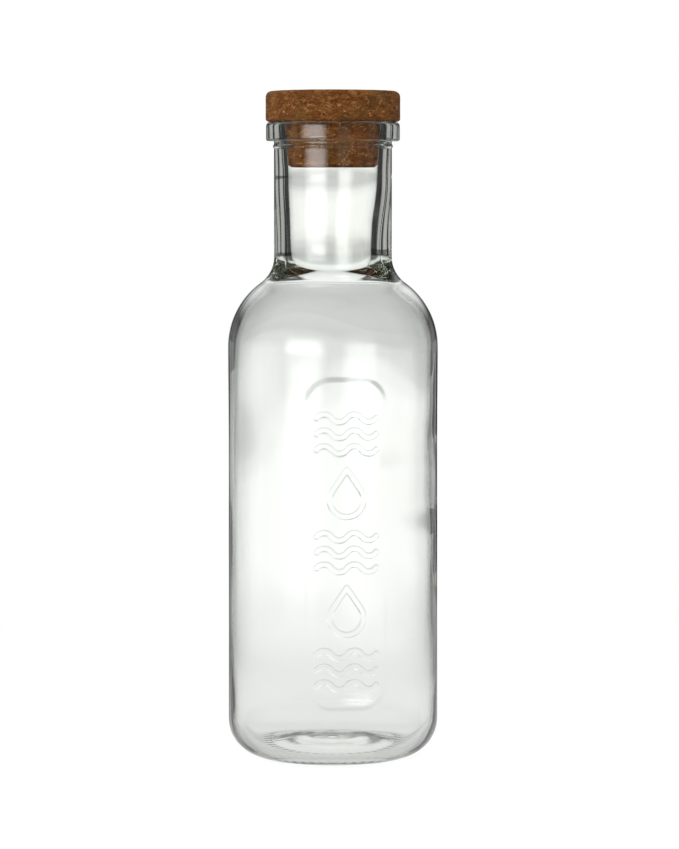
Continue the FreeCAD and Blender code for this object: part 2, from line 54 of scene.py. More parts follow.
# bottle, in millimetres
BODY_RADIUS = min(bottle_high.x, -bottle_low.x) / MM
RIM_LEVEL = bottle_high.z / MM
HEEL_RADIUS = 16.0
RING_WIDTH = 2.3
PUSHUP = 3.4
SHOULDER_LEVEL = 172.9
SHOULDER_RADIUS = 33.2
NECK_RADIUS = 24.8
NECK_FILLET = 13.5
RIDGE_LEVEL = 256.9
RIDGE_HALF = 1.1
RIDGE_HEIGHT = 0.5
BEAD_RADIUS = 28.1
BEAD_LEVEL = 259.1
BEAD_FILLET = 0.5
BEAD_FOOT_ROUND = 0.8
BEAD_TOP_ROUND = 1.7
WALL = 3.0
FLOOR = 3.6
CROWN = 7.0
INNER_HEEL = 13.0
THROAT_RADIUS = 16.8
THROAT_ROUND = 10.0
THROAT_LEVEL = 212.2
BORE_FOOT = (18.7, 246.0)
MOUTH_RADIUS = 21.1
MOUTH_ROUND = 1.0
# panel and motifs
PANEL_LEVEL = 93.6
PANEL_HALF = (16.8, 68.0)
PANEL_CORNER = 10.5
PANEL_DEPTH = 0.3
MOTIF_LEVEL = 90.5
MOTIF_PITCH = 24.3
MOTIF_RELIEF = 0.6
STROKE_HALF = 1.1
RIPPLE_CHORD = 6.2
RIPPLE_RADIUS = 3.85
RIPPLE_SPACING = 6.5
DROP_RADIUS = 7.0
DROP_TIP = 12.4
NICKS = 48
NICK_DEPTH = 0.30
# radii between which the nicks come in, and go out again
NICK_START = (26.4, 27.4)
NICK_END = (29.4, 31.2)
SEAM_HEIGHT = 0.09
SEAM_WIDTH = 0.28
# how the edges of the panel and of its strokes slope: from and to, and width
PANEL_SLOPE = (-1.3, 0.9)
STROKE_SLOPE = 0.34
# the inside's uneven wall: the knob and the ring on the floor, and the bore's swelling
KNOB = (1.5, 9.0)
FLOOR_RING = (0.35, 17.0, 3.5)
FLOOR_TOP = 14.0
BORE_SWELL = 0.30
# cork
HEAD_TOP_ROUND = 2.6
HEAD_FOOT_ROUND = 1.3
PLUG_TAPER = 1.4
PLUG_CHAMFER = 1.1
# the camera's turn round the bottle, in degrees
CAMERA_TURN = 7.4
# a distance beyond any on the panel
FAR_OFF = 99.0


# ---------------------------------------------------------------- geometry helpers


def smooth(low, high, x):
    """0 below low, 1 above high, and a smooth rise between."""
    t = np.clip((x - low) / (high - low), 0.0, 1.0)
    return t * t * (3 - 2 * t)


def turn_from(point, centre):
    return math.atan2(point[1] - centre[1], point[0] - centre[0])


class Outline:
    """A half profile in (radius, level), drawn point by point, with the column set of each point."""

    def __init__(self, start, columns):
        self.points = [start]
        self.columns = [columns]
        self.kinds = ["outer"]
        self.now = columns
        self.kind = "outer"

    def add(self, point):
        self.points.append(point)
        self.columns.append(self.now)
        self.kinds.append(self.kind)

    def line(self, end, step):
        start = self.points[-1]
        count = max(1, math.ceil(math.dist(start, end) / step))
        for number in range(1, count + 1):
            share = number / count
            self.add(tuple(a + (b - a) * share for a, b in zip(start, end)))

    def arc(self, centre, end, step, clockwise=False):
        start = self.points[-1]
        radius = math.dist(end, centre)
        first, last = turn_from(start, centre), turn_from(end, centre)
        if clockwise and last > first:
            last -= 2 * math.pi
        if not clockwise and last < first:
            last += 2 * math.pi
        count = max(2, math.ceil(abs(last - first) * radius / step))
        for number in range(1, count + 1):
            angle = first + (last - first) * number / count
            self.add((centre[0] + radius * math.cos(angle), centre[1] + radius * math.sin(angle)))


def stitch(faces, below, above, low_turns, high_turns):
    """Faces between two rings of points, which may have different numbers of points."""
    low_count, high_count = len(below), len(above)
    if low_count == 1:
        faces.extend((below[0], above[(j + 1) % high_count], above[j]) for j in range(high_count))
        return
    if high_count == 1:
        faces.extend((below[j], below[(j + 1) % low_count], above[0]) for j in range(low_count))
        return
    if np.array_equal(low_turns, high_turns):
        for j in range(low_count):
            k = (j + 1) % low_count
            faces.append((below[j], below[k], above[k], above[j]))
        return
    low_stops = [*low_turns[1:], 360.0, math.inf]
    high_stops = [*high_turns[1:], 360.0, math.inf]
    a = b = 0
    while a < low_count or b < high_count:
        here_low, here_high = below[a % low_count], above[b % high_count]
        if low_stops[a] <= high_stops[b]:
            faces.append((here_low, below[(a + 1) % low_count], here_high))
            a += 1
        else:
            faces.append((here_low, above[(b + 1) % high_count], here_high))
            b += 1


def on_wall(turns, radius, level, move, outward):
    """Points in metres at these turns, moved out of the surface by move. Turn 180 faces the front."""
    angle = np.radians(turns - 180.0)
    r = (radius + move * outward[0]) * MM
    z = (level + move * outward[1]) * MM + 0 * r
    return np.stack([r * np.sin(angle), -r * np.cos(angle), z], axis=1)


class Quilt:
    """A round wall as square cells that are halved again and again where wants says so, so that fine
    relief gets fine cells. Neighbouring cells differ by one halving at most, and share all points."""

    def __init__(self, low, cell, rows, columns, depth, wants):
        self.low, self.unit = low, 2**depth
        self.row, self.column = cell / self.unit, 360.0 / columns / self.unit
        self.rows, self.around = rows * self.unit, columns * self.unit
        split = [set() for _ in range(depth + 1)]
        cells = [(i, j) for i in range(columns) for j in range(rows)]
        for level in range(depth):
            size = self.unit >> level
            middles = (np.array(cells).reshape(-1, 2) + 0.5) * size
            turns, levels = middles[:, 0] * self.column, low + middles[:, 1] * self.row
            chosen = wants(turns, levels, size * self.row)
            split[level] = {at for at, yes in zip(cells, chosen) if yes}
            cells = [(2 * i + p, 2 * j + q) for i, j in split[level] for p in (0, 1) for q in (0, 1)]
        for level in range(depth - 1, 0, -1):
            wide = columns << level
            high = rows << level
            for i, j in split[level]:
                for p in (-1, 0, 1):
                    for q in (-1, 0, 1):
                        if 0 <= j + q < high:
                            split[level - 1].add((((i + p) % wide) // 2, (j + q) // 2))
        self.leaves = []
        cells = [(i, j) for i in range(columns) for j in range(rows)]
        for level in range(depth + 1):
            size = self.unit >> level
            self.leaves += [(i * size, j * size, size) for i, j in cells if (i, j) not in split[level]]
            cells = [
                (2 * i + p, 2 * j + q)
                for i, j in cells
                if (i, j) in split[level]
                for p in (0, 1)
                for q in (0, 1)
            ]

    def build(self):
        """(turns, levels, faces, points along the foot, points along the top)."""
        corners = set()
        for i, j, size in self.leaves:
            for p, q in ((0, 0), (size, 0), (size, size), (0, size)):
                corners.add(((i + p) % self.around, j + q))
        order = sorted(corners, key=lambda at: (at[1], at[0]))
        number = {at: index for index, at in enumerate(order)}
        faces = []
        for i, j, size in self.leaves:
            half = size // 2
            path = [(0, 0), (half, 0), (size, 0), (size, half), (size, size), (half, size)]
            path += [(0, size), (0, half)]
            if not half:
                path = [(0, 0), (size, 0), (size, size), (0, size)]
            keys = [((i + p) % self.around, j + q) for p, q in path]
            faces.append(tuple(number[key] for key in keys if key in number))
        places = np.array(order)
        turns, levels = places[:, 0] * self.column, self.low + places[:, 1] * self.row
        foot = [index for index, at in enumerate(order) if at[1] == 0]
        top = [index for index, at in enumerate(order) if at[1] == self.rows]
        return turns, levels, faces, foot, top


def lathe(name, outline, column_sets, displace, quilt=None):
    """A closed form from an outline whose two ends lie on the axis. displace gives how far points
    move out of the surface, from their turns in degrees, radius, level and the outline's kind. A quilt
    takes the place of the two rings from outline.quilt_at on."""
    profile = np.array(outline.points)
    ahead = np.roll(profile, -1, axis=0) - profile
    ahead[-1] = ahead[-2]
    behind = np.vstack([ahead[:1], ahead[:-1]])
    ahead /= np.maximum(np.linalg.norm(ahead, axis=1, keepdims=True), 1e-9)
    behind /= np.maximum(np.linalg.norm(behind, axis=1, keepdims=True), 1e-9)
    along = ahead + behind
    along /= np.maximum(np.linalg.norm(along, axis=1, keepdims=True), 1e-9)
    outward = np.stack([along[:, 1], -along[:, 0]], axis=1)

    vertices, faces, rings = [], [], []
    total = 0
    for index, (radius, level) in enumerate(profile):
        if quilt and index == outline.quilt_at:
            turns, levels, cells, foot, top = quilt.build()
            move = displace(turns, radius, levels, "panel")
            vertices.append(on_wall(turns, radius, levels, move, (1.0, 0.0)))
            faces.extend(tuple(total + v for v in cell) for cell in cells)
            rings.append(([total + v for v in foot], turns[foot]))
            rings.append(([total + v for v in top], turns[top]))
            total += len(turns)
        elif quilt and index == outline.quilt_at + 1:
            continue
        elif radius < 1e-6:
            vertices.append(np.array([[0.0, 0.0, level * MM]]))
            rings.append(([total], None))
            total += 1
        else:
            turns = column_sets[outline.columns[index]]
            move = displace(turns, radius, level, outline.kinds[index])
            vertices.append(on_wall(turns, radius, level, move, outward[index]))
            rings.append((list(range(total, total + len(turns))), turns))
            total += len(turns)
    for index, ((below, low_turns), (above, high_turns)) in enumerate(zip(rings, rings[1:])):
        if not (quilt and index == outline.quilt_at):
            stitch(faces, below, above, low_turns, high_turns)
    mesh = bpy.data.meshes.new(name)
    mesh.from_pydata(np.vstack(vertices).tolist(), [], faces)
    mesh.update()
    mesh.shade_smooth()
    made = bpy.data.objects.new(name, mesh)
    bpy.context.scene.collection.objects.link(made)
    return made


# ---------------------------------------------------------------- relief on the front


def arc_points(centre, radius, first, last, count):
    angles = np.radians(np.linspace(first, last, count))
    return np.stack([centre[0] + radius * np.cos(angles), centre[1] + radius * np.sin(angles)], axis=1)


def ripple_line(level):
    """The centre line of one ripple: four equal arcs, humps and hollows in turn."""
    depth = math.sqrt(RIPPLE_RADIUS**2 - RIPPLE_CHORD**2 / 4)
    lean = math.degrees(math.asin(RIPPLE_CHORD / 2 / RIPPLE_RADIUS))
    parts = []
    for number in range(4):
        hump = 1 if number % 2 == 0 else -1
        centre = (RIPPLE_CHORD * (number - 1.5), level - hump * depth)
        parts.append(arc_points(centre, RIPPLE_RADIUS, hump * (90 + lean), hump * (90 - lean), 13))
    return np.vstack(parts)


def drop_line(level):
    """The centre line of a drop: a circle's arc and the two lines from the tip that touch it."""
    lean = math.degrees(math.acos(DROP_RADIUS / DROP_TIP))
    centre = (0.0, level - (DROP_TIP - DROP_RADIUS) / 2)
    bowl = arc_points(centre, DROP_RADIUS, 90 + lean, 450 - lean, 49)
    tip = np.array([[0.0, centre[1] + DROP_TIP]])
    return np.vstack([tip, bowl, tip])


def motif_lines():
    lines = []
    for number in range(5):
        level = MOTIF_LEVEL + (number - 2) * MOTIF_PITCH
        if number % 2:
            lines.append(drop_line(level))
        else:
            lines.extend(ripple_line(level + step * RIPPLE_SPACING) for step in (-1, 0, 1))
    return lines


STARTS, ENDS = (
    np.vstack(parts) for parts in zip(*((line[:-1], line[1:]) for line in motif_lines()))
)


def distance_to_strokes(x, z):
    """Distance from points on the panel to the nearest stroke's centre line."""
    span = ENDS - STARTS
    size = np.maximum((span**2).sum(axis=1), 1e-9)
    nearest = np.full(len(x), FAR_OFF)
    for first in range(0, len(x), 4000):
        part = slice(first, first + 4000)
        across = x[part, None] - STARTS[None, :, 0]
        up = z[part, None] - STARTS[None, :, 1]
        share = np.clip((across * span[:, 0] + up * span[:, 1]) / size, 0, 1)
        gap = np.hypot(across - share * span[:, 0], up - share * span[:, 1])
        nearest[part] = gap.min(axis=1)
    return nearest


def front_distances(turns, levels):
    """(distance outside the panel's edge, distance to a stroke's centre line) on the front."""
    angle = np.radians(turns - 180.0)
    x = np.where(np.cos(angle) > 0, BODY_RADIUS * np.sin(angle), FAR_OFF)
    side = np.abs(x) - (PANEL_HALF[0] - PANEL_CORNER)
    up = np.abs(levels - PANEL_LEVEL) - (PANEL_HALF[1] - PANEL_CORNER)
    corner = np.hypot(np.maximum(side, 0), np.maximum(up, 0))
    edge = corner + np.minimum(np.maximum(side, up), 0) - PANEL_CORNER
    stroke = np.full(len(x), FAR_OFF)
    inside = edge < 0
    stroke[inside] = distance_to_strokes(x[inside], levels[inside])
    return edge, stroke


def relief(turns, levels):
    """Height of the front's relief over the plain wall: the sunk panel and the raised strokes."""
    edge, stroke = front_distances(turns, levels)
    floor = -PANEL_DEPTH * (1 - smooth(*PANEL_SLOPE, edge))
    return floor + MOTIF_RELIEF * np.clip(0.5 - (stroke - STROKE_HALF) / STROKE_SLOPE, 0.0, 1.0)


def off_seam(turns, radius):
    """Distance from the nearer mould seam, along the wall."""
    return np.abs(np.abs(turns - 180.0) - 90.0) * radius * math.radians(1)


def wants_halving(turns, levels, size):
    """Whether cells of the wall at these places are too coarse for the relief or a seam there."""
    edge, stroke = front_distances(turns, levels)
    wants = np.abs(stroke - STROKE_HALF) < 0.75 * size + 0.2
    if size > 0.45:
        wants |= np.abs(edge) < 0.75 * size + 0.9
        wants |= off_seam(turns, BODY_RADIUS) < 0.75 * size + 0.3
    return wants


# ---------------------------------------------------------------- the bottle


def eased(stops):
    """A smooth curve of level through (level, value) stops."""
    levels = np.arange(0.0, 281.0)
    values = np.interp(levels, *zip(*stops))
    spread = np.exp(-((np.arange(-24, 25) / 9.0) ** 2))
    padded = np.pad(values, 24, mode="edge")
    return lambda level: np.interp(level, levels, np.convolve(padded, spread / spread.sum(), "valid"))


# how much thicker than the plain wall the glass is on its left and right, by level; below 0 is thinner
left_wall = eased([(16, -1.0), (45, -1.5), (105, -1.2), (126, -0.8), (150, -0.1), (175, 0.1), (190, 0.0)])
right_wall = eased(
    [
        (16, -0.8),
        (36, -0.8),
        (70, -0.5),
        (98, -0.4),
        (108, 0.8),
        (119, -0.3),
        (131, 0.7),
        (145, -0.4),
        (190, 0.0),
    ]
)
# where each kind of unevenness acts, by level
body_part = eased([(10, 0.0), (26, 1.0), (210, 1.0), (240, 0.0)])
neck_part = eased([(196, 0.0), (212, 1.0), (226, 1.0), (236, 0.0)])
neck_swell = eased([(196, 0.0), (212, 1.0), (270, 1.0)])
side_part = eased([(0, 0.0), (18, 0.0), (40, 1.0), (160, 1.0), (190, 0.0)])


def floor_swell(radius, level):
    """The knob and the ring round it in the middle of the inner floor."""
    knob = KNOB[0] * math.exp(-((radius / KNOB[1]) ** 2))
    ring = FLOOR_RING[0] * math.exp(-(((radius - FLOOR_RING[1]) / FLOOR_RING[2]) ** 2))
    return (knob + ring) * (level < FLOOR_TOP)


def wall_waves(turns, radius, level):
    """Uneven thickness of the blown wall, as height out of the inside surface."""
    angle = np.radians(turns - 180.0)
    side = 0.5 + 0.5 * np.sin(angle + math.radians(CAMERA_TURN))
    thick = left_wall(level) * (1 - side) + right_wall(level) * side
    waves = 0.16 * np.sin(3 * angle + level / 17.0) * np.sin(level / 23.0 + 0.6)
    waves = waves + 0.10 * np.sin(5 * angle - level / 11.0 + 1.0)
    uneven = neck_part(level) * (0.15 + 0.45 * np.sin(angle + 0.3))
    taper = neck_swell(level) * np.sin(2 * math.pi * (level - BORE_FOOT[1]) / 34.0)
    waved = (thick + waves) * body_part(level) + uneven + BORE_SWELL * taper
    return waved + floor_swell(radius, level)


def outer_waves(turns, radius, level):
    """Slight unevenness of the outside, only ever inward, with a fine seam left proud on each side."""
    angle = np.radians(turns - 180.0)
    wave = 0.08 * (1 + np.sin(2 * angle + level / 31.0 + 1.3))
    wave = wave + 0.04 * (1 + np.sin(4 * angle - level / 13.0))
    seam = np.exp(-((off_seam(turns, radius) / SEAM_WIDTH) ** 2))
    return -side_part(level) * wave + SEAM_HEIGHT * (seam - 1) * (radius > 20)


def nick_depth(turns, radius, level):
    """Crescent nicks round the base ring."""
    band = smooth(*NICK_START, radius) * (1 - smooth(*NICK_END, radius)) * (level < 4)
    tooth = 0.5 + 0.5 * np.cos(np.radians(turns) * NICKS)
    return -NICK_DEPTH * band * tooth**1.5


def glass_displacement(turns, radius, level, kind):
    if kind == "inner":
        return wall_waves(turns, radius, level)
    if kind == "mouth":
        return 0.0 * turns
    move = outer_waves(turns, radius, level)
    if kind == "panel":
        return move + relief(turns, level)
    return np.minimum(move + nick_depth(turns, radius, level), 0.0)


def even_turns(count):
    return np.arange(count) * 360.0 / count


def with_seams(turns):
    """The turns again with a few close ones round each mould seam."""
    seams = [s + d for s in (90.0, 270.0) for d in (-1.2, -0.6, -0.3, 0.0, 0.3, 0.6, 1.2)]
    kept = [t for t in turns if min(abs(t - s) for s in (90.0, 270.0)) > 1.5]
    return np.array(sorted(kept + seams))


COLUMNS = {
    "plain": with_seams(even_turns(96)),
    "ring": even_turns(NICKS * 10),
}
WALL_LOW = 17.0
WALL_CELL = 2.9
WALL_ROWS = 52


def point_about(centre, radius, angle):
    return (centre[0] + radius * math.cos(angle), centre[1] + radius * math.sin(angle))


def touching(point, centre, radius, side):
    """Where a line from point touches a circle, on the chosen side of it."""
    across = (point[0] - centre[0], point[1] - centre[1])
    square = across[0] ** 2 + across[1] ** 2
    along = radius**2 / square
    aside = side * radius * math.sqrt(square - radius**2) / square
    return (
        centre[0] + along * across[0] - aside * across[1],
        centre[1] + along * across[1] + aside * across[0],
    )


def bottle_outline():
    heel = BODY_RADIUS - HEEL_RADIUS
    ring = heel - RING_WIDTH
    dome = (ring**2 + PUSHUP**2) / (2 * PUSHUP)
    shoulder = (BODY_RADIUS - SHOULDER_RADIUS, SHOULDER_LEVEL)
    reach = SHOULDER_RADIUS + NECK_FILLET
    aside = NECK_RADIUS + NECK_FILLET - shoulder[0]
    fillet = (shoulder[0] + aside, shoulder[1] + math.sqrt(reach**2 - aside**2))
    meet = tuple(a + (b - a) * SHOULDER_RADIUS / reach for a, b in zip(shoulder, fillet))
    o = Outline((0.0, PUSHUP), "plain")
    centre = (0.0, PUSHUP - dome)
    before = (ring - 1.2, centre[1] + math.sqrt(dome**2 - (ring - 1.2) ** 2))
    o.arc(centre, before, 2.2, clockwise=True)
    o.now = "ring"
    o.arc(centre, (ring, 0.0), 0.5, clockwise=True)
    o.line((heel, 0.0), 0.4)
    angle = math.radians(-68)
    o.arc(
        (heel, HEEL_RADIUS),
        (heel + HEEL_RADIUS * math.cos(angle), HEEL_RADIUS * (1 + math.sin(angle))),
        0.6,
    )
    o.now = "plain"
    o.arc((heel, HEEL_RADIUS), (BODY_RADIUS, HEEL_RADIUS), 1.5)
    o.add((BODY_RADIUS, WALL_LOW))
    o.quilt_at = len(o.points) - 1
    o.add((BODY_RADIUS, WALL_LOW + WALL_CELL * WALL_ROWS))
    o.line((BODY_RADIUS, SHOULDER_LEVEL), 2.5)
    o.arc(shoulder, meet, 1.6)
    o.arc(fillet, (NECK_RADIUS, fillet[1]), 1.2, clockwise=True)
    o.line((NECK_RADIUS, RIDGE_LEVEL - RIDGE_HALF - 0.4), 3.0)
    for step in np.linspace(-1, 1, 9):
        rise = RIDGE_HEIGHT * math.cos(step * math.pi / 2) ** 2
        o.add((NECK_RADIUS + rise, RIDGE_LEVEL + step * RIDGE_HALF))
    joint = (NECK_RADIUS + BEAD_FILLET, BEAD_LEVEL - BEAD_FILLET)
    foot = (BEAD_RADIUS - BEAD_FOOT_ROUND, BEAD_LEVEL + BEAD_FOOT_ROUND)
    top = (BEAD_RADIUS - BEAD_TOP_ROUND, RIM_LEVEL - BEAD_TOP_ROUND)
    o.line((NECK_RADIUS, joint[1]), 0.3)
    o.arc(joint, (joint[0], BEAD_LEVEL), 0.25, clockwise=True)
    o.line((foot[0], BEAD_LEVEL), 0.5)
    o.arc(foot, (BEAD_RADIUS, foot[1]), 0.2)
    o.line((BEAD_RADIUS, top[1]), 0.8)
    o.arc(top, (top[0], RIM_LEVEL), 0.3)
    o.kind = "mouth"
    o.line((MOUTH_RADIUS + 0.01, RIM_LEVEL), 0.9)

    # inside, downward
    wall = BODY_RADIUS - WALL
    inner_shoulder = wall - shoulder[0]
    throat = (THROAT_RADIUS + THROAT_ROUND, THROAT_LEVEL)
    rise = math.atan2(throat[1] - shoulder[1], throat[0] - shoulder[0])
    lean = rise - math.acos((inner_shoulder + THROAT_ROUND) / math.dist(shoulder, throat))
    slope_foot = point_about(shoulder, inner_shoulder, lean)
    slope_top = point_about(throat, -THROAT_ROUND, lean)
    throat_end = touching(BORE_FOOT, throat, THROAT_ROUND, 1)
    mouth = (MOUTH_RADIUS, RIM_LEVEL - MOUTH_ROUND)
    bore_end = touching(BORE_FOOT, mouth, MOUTH_ROUND, -1)
    heel_centre = (wall - INNER_HEEL, FLOOR + INNER_HEEL)
    drop = heel_centre[1] - CROWN
    floor_radius = (heel_centre[0] ** 2 + drop**2 - INNER_HEEL**2) / (2 * (INNER_HEEL - drop))
    floor_centre = (0.0, CROWN - floor_radius)
    share = floor_radius / (floor_radius + INNER_HEEL)
    floor_end = tuple(a + (b - a) * share for a, b in zip(floor_centre, heel_centre))
    o.arc(mouth, bore_end, 0.3)
    o.line(BORE_FOOT, 1.6)
    o.kind = "inner"
    o.line(throat_end, 1.6)
    o.arc(throat, slope_top, 0.8)
    o.line(slope_foot, 1.2)
    o.arc(shoulder, (wall, shoulder[1]), 1.6, clockwise=True)
    o.line((wall, heel_centre[1]), 2.4)
    o.arc(heel_centre, floor_end, 1.2, clockwise=True)
    o.arc(floor_centre, (0.0, CROWN), 1.6)
    return o


quilt = Quilt(WALL_LOW, WALL_CELL, WALL_ROWS, 96, 4, wants_halving)
bottle = lathe("bottle_glass", bottle_outline(), COLUMNS, glass_displacement, quilt)


# ---------------------------------------------------------------- the cork


def cork_pits(count, radius, low, high):
    """Random shallow pits over a cork piece: centres, sizes and depths, in millimetres."""
    turns = rng.uniform(0, 2 * math.pi, count)
    on_top = rng.uniform(0, 1, count) < 0.4
    r = np.where(on_top, radius * np.sqrt(rng.uniform(0, 1, count)), radius)
    z = np.where(on_top, np.where(rng.uniform(0, 1, count) < 0.8, high, low), rng.uniform(low, high, count))
    centres = np.stack([r * np.sin(turns), -r * np.cos(turns), z], axis=1)
    return centres, rng.uniform(0.35, 1.0, count), rng.uniform(0.05, 0.22, count)


def cork_form(name, points, pits, step_turns, rough):
    """A turned piece of cork with its pits and a slight unevenness."""
    centres, sizes, depths = pits

    def displace(turns, radius, level, kind):
        angle = np.radians(turns - 180.0)
        at = np.stack([radius * np.sin(angle), -radius * np.cos(angle), level + 0 * angle], axis=1)
        near = np.abs(centres[:, 2] - level) < 2.5
        gap = np.linalg.norm(at[:, None] - centres[None, near], axis=2) / sizes[None, near]
        pit = (depths[None, near] * np.exp(-(gap**2) * 1.5)).max(axis=1, initial=0.0)
        lumps = 0.5 + 0.5 * np.sin(7 * angle + level * 1.7) * np.sin(11 * angle - level * 2.3 + radius)
        return -pit - rough * lumps

    return lathe(name, points, {"plain": even_turns(step_turns)}, displace)


def head_outline():
    radius = (head_high.x - head_low.x) / 2 / MM
    low, high = head_low.z / MM, head_high.z / MM
    foot = (radius - HEAD_FOOT_ROUND, low + HEAD_FOOT_ROUND)
    top = (radius - HEAD_TOP_ROUND, high - HEAD_TOP_ROUND)
    o = Outline((0.0, low), "plain")
    o.line((foot[0], low), 1.2)
    o.arc(foot, (radius, foot[1]), 0.35)
    o.line((radius, top[1]), 0.45)
    o.arc(top, (top[0], high), 0.4)
    o.line((0.0, high), 0.7)
    return o, radius, low, high


def plug_outline():
    radius = (plug_high.x - plug_low.x) / 2 / MM
    low, high = plug_low.z / MM, plug_high.z / MM
    foot = radius - PLUG_TAPER
    o = Outline((0.0, low), "plain")
    o.line((foot - PLUG_CHAMFER, low), 1.2)
    o.line((foot + PLUG_TAPER * PLUG_CHAMFER / (high - low), low + PLUG_CHAMFER), 0.4)
    o.line((radius, high), 0.5)
    o.line((0.0, high), 3.0)
    return o, radius, low, high


points, radius, low, high = head_outline()
cork_head = cork_form("cork_head", points, cork_pits(420, radius, low, high), 288, 0.05)
points, radius, low, high = plug_outline()
cork_plug = cork_form("cork_plug", points, cork_pits(260, radius, low, high), 192, 0.03)


# ---------------------------------------------------------------- materials


class Nodes:
    """Adds nodes to a tree and links them in one call."""

    def __init__(self, tree):
        self.tree = tree

    def add(self, kind, settings=None, **inputs):
        node = self.tree.nodes.new(kind)
        for name, value in (settings or {}).items():
            setattr(node, name, value)
        for name, value in inputs.items():
            key = int(name[1:]) if name[0] == "i" and name[1:].isdigit() else name.replace("_", " ")
            socket = node.inputs[key]
            if isinstance(value, bpy.types.NodeSocket):
                self.tree.links.new(value, socket)
            else:
                socket.default_value = value
        return node

    def math(self, operation, a, b=0.0, c=0.0):
        return self.add("ShaderNodeMath", {"operation": operation}, i0=a, i1=b, i2=c).outputs[0]

    def mix(self, factor, a, b, blend="MIX"):
        node = self.tree.nodes.new("ShaderNodeMix")
        node.data_type, node.blend_type = "RGBA", blend
        for socket, value in ((node.inputs[0], factor), (node.inputs[6], a), (node.inputs[7], b)):
            if isinstance(value, bpy.types.NodeSocket):
                self.tree.links.new(value, socket)
            else:
                socket.default_value = value
        return node.outputs[2]

    def ramp(self, factor, stops, interpolation="LINEAR"):
        node = self.tree.nodes.new("ShaderNodeValToRGB")
        node.color_ramp.interpolation = interpolation
        self.tree.links.new(factor, node.inputs[0])
        while len(node.color_ramp.elements) > 1:
            node.color_ramp.elements.remove(node.color_ramp.elements[-1])
        node.color_ramp.elements[0].position, node.color_ramp.elements[0].color = stops[0]
        for position, colour in stops[1:]:
            node.color_ramp.elements.new(position).color = colour
        return node.outputs[0]


def new_material(name):
    made = bpy.data.materials.new(name)
    made.use_nodes = True
    made.node_tree.nodes.clear()
    return made, Nodes(made.node_tree)


def glass_material():
    made, n = new_material("clear_glass")
    place = n.add("ShaderNodeTexCoord").outputs["Object"]
    drawn = n.add("ShaderNodeMapping", None, Vector=place, Scale=(38.0, 38.0, 9.0)).outputs[0]
    cords = n.add("ShaderNodeTexNoise", None, Vector=drawn, Scale=1.0, Detail=3.0, Roughness=0.55)
    bump = n.add(
        "ShaderNodeBump", None, Strength=0.25, Distance=0.0004, Height=cords.outputs[0]
    ).outputs[0]
    shader = n.add(
        "ShaderNodeBsdfPrincipled",
        None,
        Base_Color=(1.0, 1.0, 1.0, 1.0),
        Roughness=0.0,
        IOR=1.51,
        Transmission_Weight=1.0,
        Normal=bump,
    )
    volume = n.add("ShaderNodeVolumeAbsorption", None, Color=(0.75, 0.79, 0.67, 1.0), Density=17.0)
    out = n.add("ShaderNodeOutputMaterial")
    n.tree.links.new(shader.outputs[0], out.inputs["Surface"])
    n.tree.links.new(volume.outputs[0], out.inputs["Volume"])
    return made


